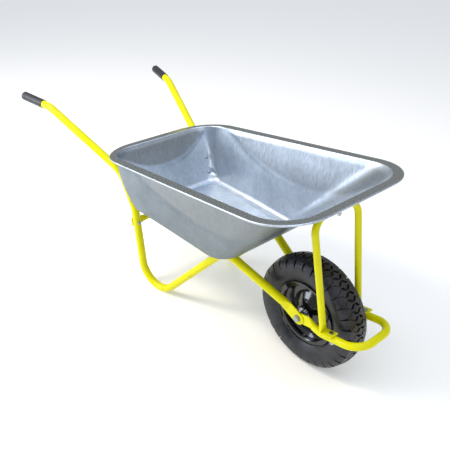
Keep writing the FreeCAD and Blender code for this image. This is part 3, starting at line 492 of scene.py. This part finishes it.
def mouthPlace():
    # Rear and front of the flange's inner edge.
    return cadTrayBox[0].x - axle.x + tray["flange"], cadTrayBox[1].x - axle.x - tray["flange"]


def breakOutline():
    rear, front = mouthPlace()
    rise = tray["breakZ"] - tray["floorZ"]
    shareRear = rise / (trayRimHeight(rear) - tray["floorZ"])
    shareFront = rise / (trayRimHeight(front) - tray["floorZ"])
    halfRear = tray["rimHalfRear"] - tray["flange"]
    halfFront = tray["rimHalfFront"] - tray["flange"]
    inset = tray["sheet"]
    return roundedOutline(
        tray["floorRear"] + (rear - tray["floorRear"]) * shareRear + inset,
        tray["floorFront"] + (front - tray["floorFront"]) * shareFront - inset,
        tray["floorHalfRear"] + (halfRear - tray["floorHalfRear"]) * shareRear - inset,
        tray["floorHalfFront"] + (halfFront - tray["floorHalfFront"]) * shareFront - inset,
        tray["breakCornerRear"], tray["breakCornerFront"], lambda x: tray["breakZ"])


def rimOutline(inset, radiusRear, radiusFront, drop=0.0):
    rear, front = cadTrayBox[0].x - axle.x, cadTrayBox[1].x - axle.x
    return roundedOutline(rear + inset, front - inset, tray["rimHalfRear"] - inset,
                          tray["rimHalfFront"] - inset, radiusRear, radiusFront,
                          lambda x: trayRimHeight(x) - drop)


def curveRows(before, corner, after, parts):
    # Rows along a quadratic bend from before to after, pulled to corner.
    rows = []
    for k in range(parts + 1):
        t = k / parts
        rows.append([a * (1 - t) ** 2 + b * 2 * t * (1 - t) + c * t * t
                     for a, b, c in zip(before, corner, after)])
    return rows


def blendRows(low, high, parts):
    return [[a.lerp(b, k / parts) for a, b in zip(low, high)] for k in range(1, parts)]


def wallRows(low, middle, high):
    # Rows up the wall, smooth through the middle outline, where the rear corners are tightest.
    rows = [[] for k in range(tray["wallParts"] - 1)]
    for a, b, c in zip(low, middle, high):
        share = (b - a).length / ((b - a).length + (c - b).length)
        for k, row in enumerate(rows):
            t = (k + 1) / tray["wallParts"]
            row.append(a * ((t - share) * (t - 1) / share) + b * (t * (t - 1) / (share * (share - 1)))
                       + c * (t * (t - share) / (1 - share)))
    return rows


def pressedField(place, low, high):
    # the share of the pressed field's depth at a wall point: the field hangs from the rim like a bow
    rear, front = mouthPlace()
    along = (place.x - axle.x - rear) / (front - rear) * 2 - 1
    across = place.y / (tray["rimHalfRear"] - tray["flange"])
    height = (place.z - low.z) / (high.z - low.z)
    if abs(across) > tray["sideFrom"] and abs(along) < tray["sideTo"]:
        reach = tray["bowFront"] if along > tray["bowPeak"] else tray["bowRear"]
        bow = tray["sideBow"] + tray["sideRise"] * (abs(along - tray["bowPeak"]) / reach) ** tray["bowPower"]
    else:
        bow = tray["endBow"] + tray["endRise"] * abs(across) ** tray["bowPower"]
    belowTop = smoothStep((tray["fieldTop"] - height) / tray["fieldTopEdge"])
    return smoothStep((height - bow) / tray["fieldEdge"] + 0.5) * belowTop


def landShare(place, lands, blend):
    # 1 at a bolt's head and 0 past the blend around it
    nearest = min(math.hypot(abs(place.y) - y, place.z - z) for y, z in lands)
    return smoothStep((tray["landRadius"] + blend - nearest) / blend)


def flattenLand(place):
    # the sheet lies flat behind each rear bolt's head, on the plane of the rear wall
    rear = mouthPlace()[0]
    floorTop = tray["floorZ"] + tray["sheet"]
    slope = (rear - tray["floorRear"]) / (trayRimHeight(rear) - floorTop)
    flatX = axle.x + tray["floorRear"] + tray["sheet"] + (place.z - floorTop) * slope
    share = landShare(place, tray["landPlaces"], tray["landBlend"])
    if abs(place.x - flatX) > tray["landReach"]:
        return place
    return Vector((place.x + (flatX - place.x) * share, place.y, place.z))


def settleWall(row, floorRow, mouthRow):
    # Presses the field into a wall row and gives the sheet its slight waver.
    settled = []
    for place, low, high in zip(row, floorRow, mouthRow):
        inward = Vector((low.x - high.x, low.y - high.y, 0)).normalized()
        depth = tray["fieldDepth"] * pressedField(place, low, high)
        depth += tray["waver"] * noise.noise(place / tray["waverSize"])
        depth *= 1 - landShare(place, [tray["noseLand"]], tray["noseBlend"])
        settled.append(flattenLand(place + inward * depth))
    return settled


def beadRows(centre, outer):
    rows = []
    for k in range(1, tray["beadParts"] + 1):
        turn = math.radians(90 - 270 * k / tray["beadParts"])
        rows.append([c + ((o - c) * Vector((1, 1, 0))).normalized() * tray["bead"] * math.cos(turn)
                     + Vector((0, 0, tray["bead"] * math.sin(turn))) for c, o in zip(centre, outer)])
    return rows


def trayRows():
    inset, floorTop = tray["sheet"], tray["floorZ"] + tray["sheet"]
    corner = floorOutline(inset, tray["floorCornerRear"] - inset, tray["floorCornerFront"] - inset, floorTop)
    wall = breakOutline()
    mouth = rimOutline(tray["flange"] + inset, tray["mouthCornerRear"], tray["mouthCornerFront"])
    slope = tray["panelInset"] + tray["panelSlope"]
    edge = tray["panelCorner"]
    flat, flatCorner = slope + tray["panelTaper"], edge - tray["panelTaperCorner"]
    rows = [floorOutline(flat, flatCorner, flatCorner, floorTop + tray["panelRise"]),
            floorOutline(slope, edge - tray["panelSlope"], edge - tray["panelSlope"],
                         floorTop + tray["panelRise"]),
            floorOutline(tray["panelInset"], edge, edge, floorTop)]
    # tangent length of the fillet, for walls that lean about 20 degrees
    reach = tray["fillet"] * tray["filletReach"]
    foot = floorOutline(inset + reach, tray["floorCornerRear"] - reach, tray["floorCornerFront"] - reach,
                        floorTop)
    rise = [c + (w - c).normalized() * reach for c, w in zip(corner, wall)]
    rows += curveRows(foot, corner, rise, tray["filletParts"])
    flangeRow = rimOutline(tray["bead"], tray["rimCornerRear"], tray["rimCornerFront"])
    bend = tray["mouthBend"]
    beforeMouth = [m + (w - m).normalized() * bend for m, w in zip(mouth, wall)]
    afterMouth = [m + (f - m).normalized() * bend for m, f in zip(mouth, flangeRow)]
    rows += [settleWall(row, corner, mouth) for row in wallRows(rise, wall, beforeMouth)]
    rows += curveRows(beforeMouth, mouth, afterMouth, tray["mouthParts"])
    rows += blendRows(afterMouth, flangeRow, tray["flangeParts"]) + [flangeRow]
    centre = rimOutline(tray["bead"], tray["rimCornerRear"], tray["rimCornerFront"], tray["bead"])
    outer = rimOutline(0, tray["rimCornerRear"], tray["rimCornerFront"], tray["bead"])
    return rows + beadRows(centre, outer)


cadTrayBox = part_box("tray")


def shadeSheet(piece, rings):
    # Marks the flange, which gets a darker, glossier tone, and the pressed fields.
    vertices = piece.data.vertices
    flangeTone = piece.data.attributes.new("flangeTone", "FLOAT", "POINT")
    pressed = piece.data.attributes.new("pressed", "FLOAT", "POINT")
    flangeEnd = len(rings) - tray["beadParts"]
    # the flange starts at the middle of the bend at its inner edge
    wallEnd = flangeEnd - tray["flangeParts"] - tray["mouthParts"] // 2 - 1
    wallStart = tray["panelRows"] + tray["filletParts"] + 1
    for ring in rings[wallEnd:flangeEnd]:
        for index in ring:
            flangeTone.data[index].value = 1.0
    for ring in rings[wallStart:wallEnd]:
        for index, low, high in zip(ring, rings[wallStart], rings[wallEnd]):
            pressed.data[index].value = pressedField(vertices[index].co, vertices[low].co, vertices[high].co)


def buildTray():
    rows = trayRows()
    piece = openRing("trayShell", rows[0])
    rings = [list(range(len(rows[0])))]
    for places in rows[1:]:
        rings.append(growRow(piece, rings[-1], places))
    makeActive(piece)
    bpy.ops.object.mode_set(mode="EDIT")
    bpy.ops.mesh.select_all(action="DESELECT")
    bpy.ops.object.mode_set(mode="OBJECT")
    for index in range(len(rows[0])):
        piece.data.vertices[index].select = True
    bpy.ops.object.mode_set(mode="EDIT")
    bpy.ops.mesh.select_mode(type="VERT")
    bpy.ops.mesh.edge_face_add()
    bpy.ops.mesh.select_all(action="SELECT")
    bpy.ops.mesh.normals_make_consistent(inside=False)
    bpy.ops.object.mode_set(mode="OBJECT")
    floorFace = max(piece.data.polygons, key=lambda face: len(face.vertices))
    if floorFace.normal.z < 0:
        bpy.ops.object.mode_set(mode="EDIT")
        bpy.ops.mesh.flip_normals()
        bpy.ops.object.mode_set(mode="OBJECT")
    shadeSheet(piece, rings)
    piece.data.materials.append(sheet)
    # the solidified outer side takes the darker copy of the sheet, painted shade
    piece.data.materials.append(shadedSheet)
    applyModifier(piece, "SOLIDIFY", thickness=tray["sheet"], offset=-1, material_offset=1)
    finishPiece(piece, None, "frame", ["tray"], 50)


buildTray()
print("tray shaped")


# tyre: a carcass spun about the axle, and tread blocks bent round it

tyre = dict(
    outer=((0, 0.200), (0.020, 0.1975), (0.038, 0.1905), (0.0482, 0.1795), (0.0505, 0.160),
           (0.0470, 0.139), (0.0368, 0.1222), (0.0323, 0.114), (0.0323, 0.1046)),
    wall=0.0078, grooveDepth=0.0063, grooveEnd=0.071, grooveFade=0.012, sectionParts=62, innerParts=18,
    spinParts=180, pitches=32, groove=0.0088, tip=0.0022, blockEdge=0.0007, cornerAt=0.0393,
    cornerRise=0.0021,
    cornerReach=0.007, grooveFrom=0.172, sink=0.0015,
    lugStart=0.0185, lugEnd=0.074, lugTaper=0.12, diamondGap=0.7, lugGap=0.5, innerReach=0.99,
    ribs=(0.098, 0.106, 0.113), ribHeight=0.0009, ribWidth=0.0022)


def smoothCurve(points, parts=24):
    # A curve through points that keeps its tangent at each.
    ends = [Vector((-points[1][0], points[1][1]))] + [Vector(p) for p in points]
    ends.append(ends[-1] * 2 - ends[-2])
    curve = []
    for a, b, c, d in zip(ends, ends[1:], ends[2:], ends[3:]):
        for k in range(parts):
            t = k / parts
            curve.append(0.5 * (2 * b + (c - a) * t + (2 * a - 5 * b + 4 * c - d) * t * t
                                + (3 * b - a - 3 * c + d) * t ** 3))
    return curve + [ends[-2]]


tyreCurve = smoothCurve(tyre["outer"])
tyreReach = [0.0]
for before, after in zip(tyreCurve, tyreCurve[1:]):
    tyreReach.append(tyreReach[-1] + (after - before).length)


def onTyre(along):
    # (y, radius) and outward direction at a distance along the section from the crown.
    side = -1 if along < 0 else 1
    distance = min(abs(along), tyreReach[-1] - 1e-6)
    index = max(i for i, reach in enumerate(tyreReach[:-1]) if reach <= distance)
    share = (distance - tyreReach[index]) / (tyreReach[index + 1] - tyreReach[index])
    place = tyreCurve[index].lerp(tyreCurve[index + 1], share)
    run = tyreCurve[index + 1] - tyreCurve[index]
    outward = Vector((-run.y, run.x)).normalized()
    return Vector((place.x * side, place.y)), Vector((outward.x * side, outward.y))


def aroundAxle(angle, section):
    return axle + Vector((section.y * math.sin(angle), section.x, section.y * math.cos(angle)))


def carcassDepth(along):
    # Groove depth under the tread, less the ribs that ring the lower wall.
    distance = abs(along)
    depth = tyre["grooveDepth"] * smoothStep((tyre["grooveEnd"] - distance) / tyre["grooveFade"])
    for rib in tyre["ribs"]:
        depth -= tyre["ribHeight"] * smoothStep(1 - abs(distance - rib) / tyre["ribWidth"])
    return depth


def markGrooves(piece, shadeAt):
    # Marks painted shade in the grooves, which darkens the rubber, by distance from the axle.
    grooveShade = piece.data.attributes.new("grooveShade", "FLOAT", "POINT")
    for index, vertex in enumerate(piece.data.vertices):
        offset = vertex.co - axle
        grooveShade.data[index].value = shadeAt(math.hypot(offset.x, offset.z))


def buildCarcass():
    reach = tyreReach[-1]
    outer, inner = [], []
    for k in range(tyre["sectionParts"] + 1):
        along = reach * (2 * k / tyre["sectionParts"] - 1)
        place, outward = onTyre(along)
        outer.append(place - outward * carcassDepth(along))
    for k in range(tyre["innerParts"] + 1):
        place, outward = onTyre(reach * tyre["innerReach"] * (1 - 2 * k / tyre["innerParts"]))
        inner.append(place - outward * tyre["wall"])
    section = [aroundAxle(0, p) for p in outer + inner]
    piece = openRing("tyreCarcass", section)
    bpy.ops.object.mode_set(mode="EDIT")
    bpy.ops.mesh.select_all(action="SELECT")
    bpy.ops.mesh.spin(steps=tyre["spinParts"], angle=math.tau, center=axle, axis=(0, 1, 0))
    bpy.ops.mesh.select_all(action="SELECT")
    bpy.ops.mesh.remove_doubles(threshold=1e-5)
    bpy.ops.mesh.normals_make_consistent(inside=False)
    bpy.ops.object.mode_set(mode="OBJECT")
    markGrooves(piece, lambda radius: smoothStep((radius - tyre["grooveFrom"]) / tyre["grooveFade"]))
    finishPiece(piece, tyreBlack, "wheel", ["tyre"], 45)


def diamondWidth(along, centre, half):
    return max(tyre["tip"], (half - abs(along - centre)) - tyre["groove"] * tyre["diamondGap"])


def lugWidth(along, half):
    flank = half - tyre["groove"] * tyre["lugGap"] + max(0, along - tyre["cornerAt"]) * tyre["lugTaper"]
    return min(flank, max(tyre["tip"], along - tyre["lugStart"] + tyre["tip"]))


def flatBlock(name, start, end, halfWidth, rows):
    # One tread block laid flat: x round the tyre, y across it, top at z 0.
    startClean()
    bpy.ops.mesh.primitive_grid_add(x_subdivisions=2, y_subdivisions=rows, size=2)
    block = bpy.context.object
    block.name = name
    for vertex in block.data.vertices:
        along = start + (end - start) * (vertex.co.y + 1) / 2
        corner = max(0, 1 - abs(along - tyre["cornerAt"]) / tyre["cornerReach"]) * tyre["cornerRise"]
        vertex.co = (vertex.co.x * halfWidth(along), along, corner)
    bpy.ops.object.mode_set(mode="EDIT")
    bpy.ops.mesh.select_all(action="SELECT")
    depth = tyre["grooveDepth"] + tyre["sink"]
    bpy.ops.mesh.extrude_region_move(TRANSFORM_OT_translate={"value": (0, 0, -depth)})
    bpy.ops.mesh.select_all(action="SELECT")
    bpy.ops.mesh.normals_make_consistent(inside=False)
    bpy.ops.object.mode_set(mode="OBJECT")
    for face in block.data.polygons:
        face.select = face.normal.z > 0.5
    bpy.ops.object.mode_set(mode="EDIT")
    bpy.ops.mesh.select_mode(type="FACE")
    bpy.ops.mesh.region_to_loop()
    bpy.ops.mesh.bevel(offset=tyre["blockEdge"], segments=1, affect="EDGES")
    bpy.ops.mesh.select_mode(type="VERT")
    bpy.ops.object.mode_set(mode="OBJECT")
    shadeBlock(block)
    return block


def shadeBlock(block):
    # Marks the block's foot with painted shade, as dark as the groove around it.
    grooveShade = block.data.attributes.new("grooveShade", "FLOAT", "POINT")
    for index, vertex in enumerate(block.data.vertices):
        grooveShade.data[index].value = 1.0 if vertex.co.z < -tyre["grooveDepth"] / 2 else 0.0


def bendBlock(block, angle, side):
    # A copy of the block on the tyre's curve, at an angle round the axle.
    copy = block.copy()
    copy.data = block.data.copy()
    bpy.context.collection.objects.link(copy)
    radius = tyre["outer"][0][1]
    for vertex in copy.data.vertices:
        place, outward = onTyre(vertex.co.y * side)
        vertex.co = aroundAxle(angle + vertex.co.x / radius, place + outward * vertex.co.z)
    return copy


def buildTread():
    step = math.tau / tyre["pitches"]
    half = step * tyre["outer"][0][1] / 2
    middle = flatBlock("middleBlock", -half, half, lambda v: diamondWidth(v, 0, half), 4)
    inner = flatBlock("innerBlock", -2 * half, 2 * half, lambda v: diamondWidth(abs(v), half, half), 8)
    lug = flatBlock("shoulderLug", tyre["lugStart"], tyre["lugEnd"], lambda v: lugWidth(v, half), 8)
    copies = []
    for k in range(tyre["pitches"]):
        copies.append(bendBlock(middle, step * k, 1))
        copies.append(bendBlock(inner, step * (k + 0.5), 1))
        for side in (1, -1):
            copies.append(bendBlock(lug, step * k, side))
    for block in (middle, inner, lug):
        bpy.data.objects.remove(block)
    startClean()
    for copy in copies:
        copy.select_set(True)
    bpy.context.view_layer.objects.active = copies[0]
    bpy.ops.object.join()
    piece = bpy.context.object
    piece.name = piece.data.name = "tyreTread"
    recalculateNormals(piece)
    finishPiece(piece, tyreBlack, "wheel", ["tyre"], 30)


buildCarcass()
buildTread()
print("tyre shaped")
